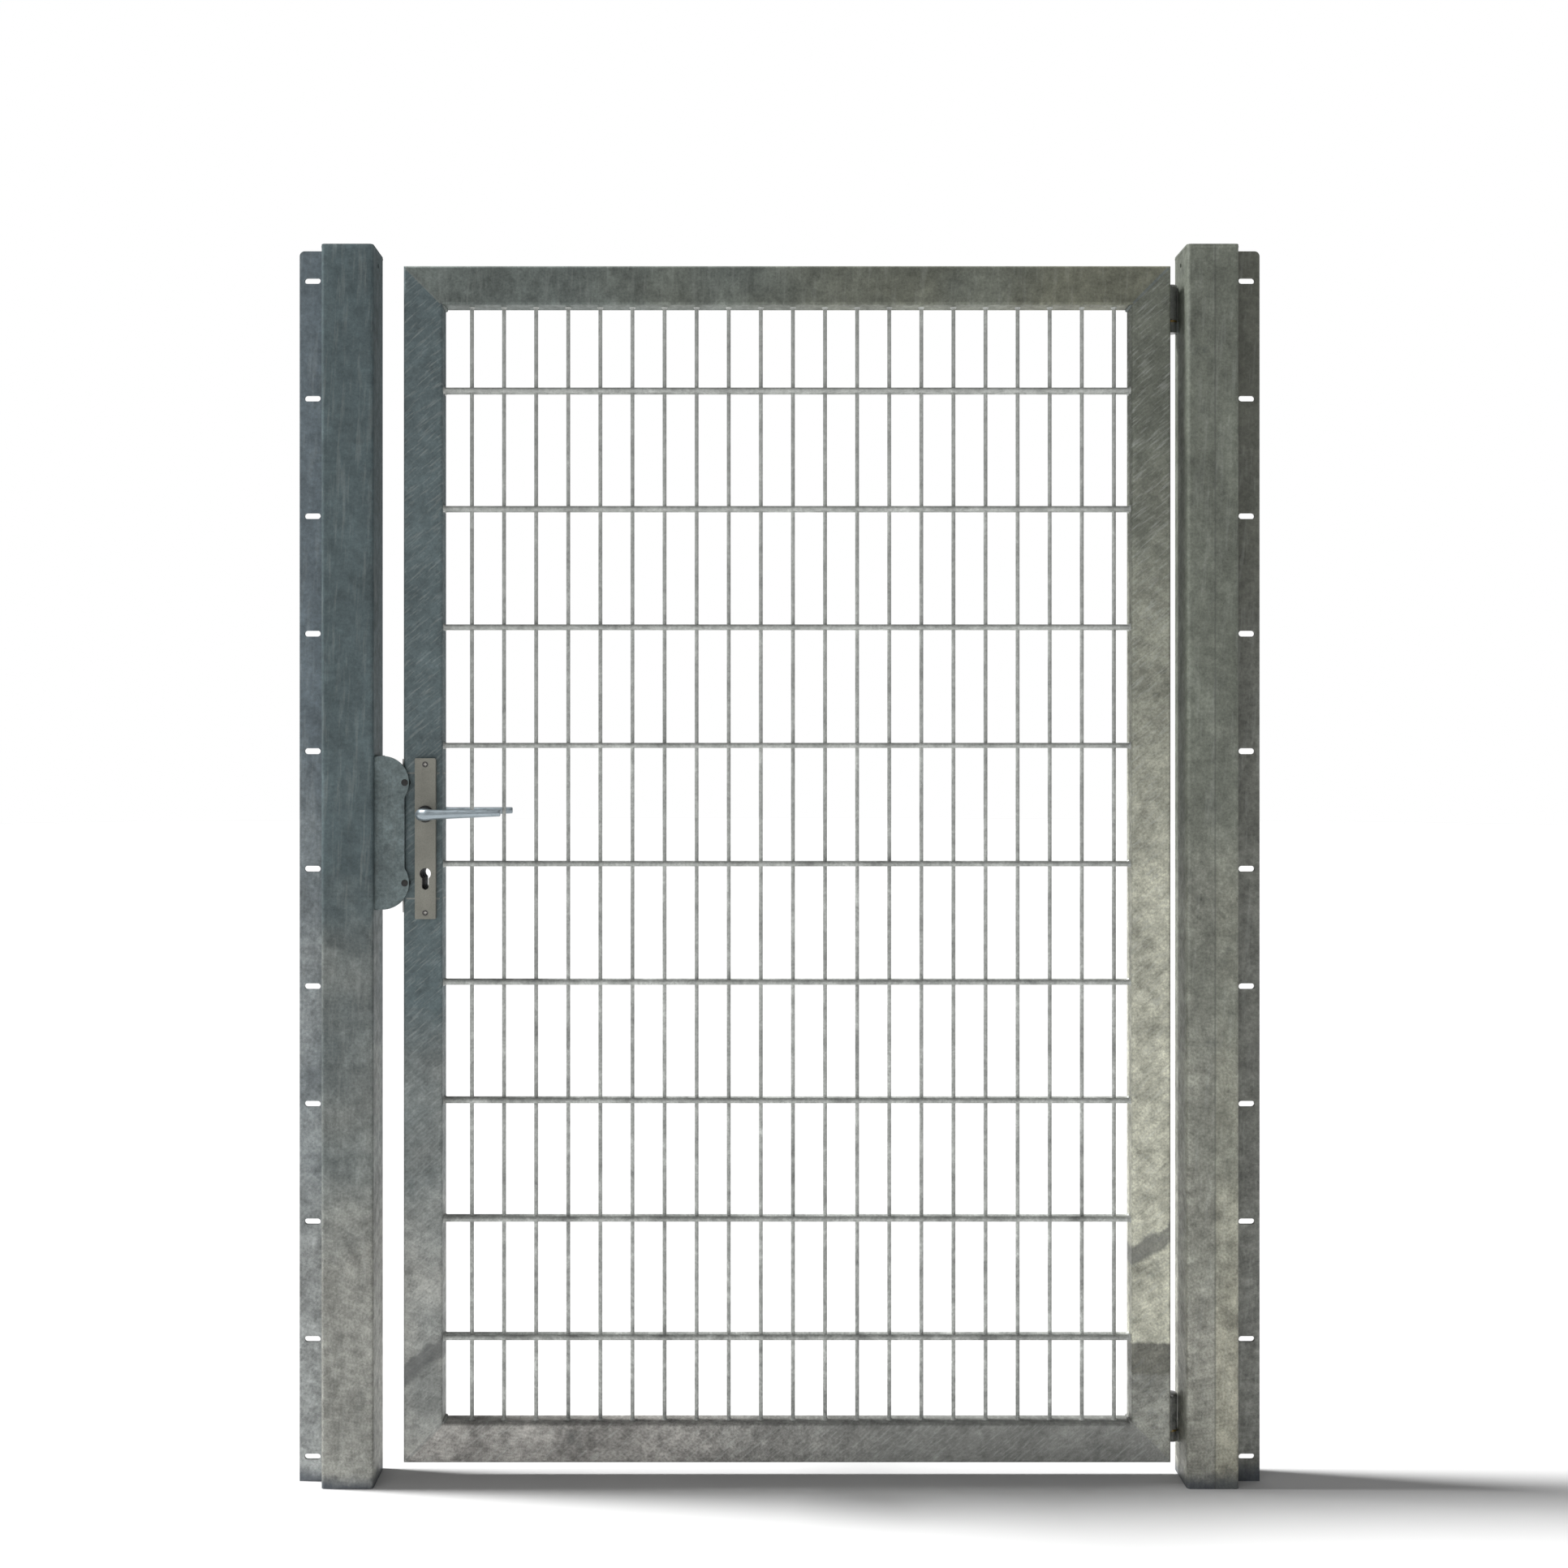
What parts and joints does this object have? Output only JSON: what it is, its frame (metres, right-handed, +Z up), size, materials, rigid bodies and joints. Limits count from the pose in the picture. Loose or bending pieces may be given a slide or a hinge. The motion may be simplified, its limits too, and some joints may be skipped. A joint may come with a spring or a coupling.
{
  "type": "garden gate",
  "caption": "Galvanised single-leaf garden gate with a welded rod-mat infill, lever lock, stop bracket and hinges, hung between square posts with slotted fence strips.",
  "frame": {"origin": "on the ground at the middle of the passage, in the middle plane of the leaf", "axes": "+Z up, +X from the latch post to the hinge post, +Y through the passage, the way the leaf opens"},
  "size_m": [1.49, 0.163, 1.912],
  "materials": {
    "galvanised_tube": "hot-dip galvanised, matt grey with faint spangle",
    "galvanised_plate": "hot-dip galvanised flat steel, matt grey",
    "galvanised_fittings": "hot-dip galvanised, slightly rough",
    "galvanised_rods": "galvanised wire, satin",
    "zinc_plated_steel": "electro zinc plated",
    "bare_steel": "greased bare steel",
    "anodised_plate": "satin anodised aluminium",
    "brushed_lever": "polished and anodised aluminium",
    "black_rubber": "matt black rubber",
    "black_plastic": "matt black polyamide",
    "brass_bushes": "plain turned brass"
  },
  "bodies": {
    "posts": {"latch_post": "galvanised_tube", "hinge_post": "galvanised_tube", "latch_post_cap": "galvanised_tube", "hinge_post_cap": "galvanised_tube", "latch_fixing_strip": "galvanised_plate", "hinge_fixing_strip": "galvanised_plate", "latch_strip_welds": "galvanised_fittings", "hinge_strip_welds": "galvanised_fittings", "stop_bracket": "galvanised_plate", "strike_box": "zinc_plated_steel", "stop_bracket_bolts": "zinc_plated_steel", "rubber_buffers": "black_rubber", "upper_hinge_lug": "galvanised_fittings", "lower_hinge_lug": "galvanised_fittings", "upper_hinge_pin": "bare_steel", "lower_hinge_pin": "bare_steel", "hinge_washers": "brass_bushes"},
    "leaf": {"top_rail": "galvanised_tube", "bottom_rail": "galvanised_tube", "lower_latch_stile": "galvanised_tube", "lock_box": "galvanised_tube", "upper_latch_stile": "galvanised_tube", "hinge_stile": "galvanised_tube", "mat_upright_rods": "galvanised_rods", "mat_front_rods": "galvanised_rods", "mat_rear_rods": "galvanised_rods", "upper_knuckle": "galvanised_fittings", "lower_knuckle": "galvanised_fittings", "hinge_bushes": "brass_bushes", "lock_forend": "zinc_plated_steel", "forend_screws": "zinc_plated_steel", "lock_case": "zinc_plated_steel", "lock_cover": "zinc_plated_steel", "front_handle_plate": "anodised_plate", "rear_handle_plate": "anodised_plate", "front_base_plate": "zinc_plated_steel", "rear_base_plate": "zinc_plated_steel", "handle_plate_screws": "zinc_plated_steel", "handle_plate_sleeves": "zinc_plated_steel", "front_lever_bush": "black_plastic", "rear_lever_bush": "black_plastic", "latch_spring": "zinc_plated_steel"},
    "levers": {"front_lever": "brushed_lever", "rear_lever": "brushed_lever", "lever_grub_screws": "bare_steel", "lever_spindle": "bare_steel", "lock_follower": "brass_bushes"},
    "latch": {"latch_bolt": "zinc_plated_steel"},
    "bolt": {"dead_bolt": "zinc_plated_steel"}
  },
  "joints": [
    {"name": "leaf_swing", "type": "hinge", "parent": "posts", "child": "leaf", "pos_m": [0.615, 0.02, 0], "axis": [0, 0, -1], "range_deg": [0, 105]},
    {"name": "lever_turn", "type": "hinge", "parent": "leaf", "child": "levers", "pos_m": [-0.547, 0, 1.036], "axis": [0, 1, 0], "range_deg": [0, 35], "stiffness_Nm_per_rad": 1.5, "springref_deg": -34.38},
    {"name": "latch_slide", "type": "slide", "parent": "leaf", "child": "latch", "axis": [1, 0, 0], "range_m": [0, 0.012], "deforming": ["latch_spring"]},
    {"name": "bolt_throw", "type": "slide", "parent": "leaf", "child": "bolt", "axis": [-1, 0, 0], "range_m": [0, 0.02]}
  ],
  "couplings": [
    {"joint": "latch_slide", "follows": "lever_turn", "m_per_rad": 0.0196}
  ]
}
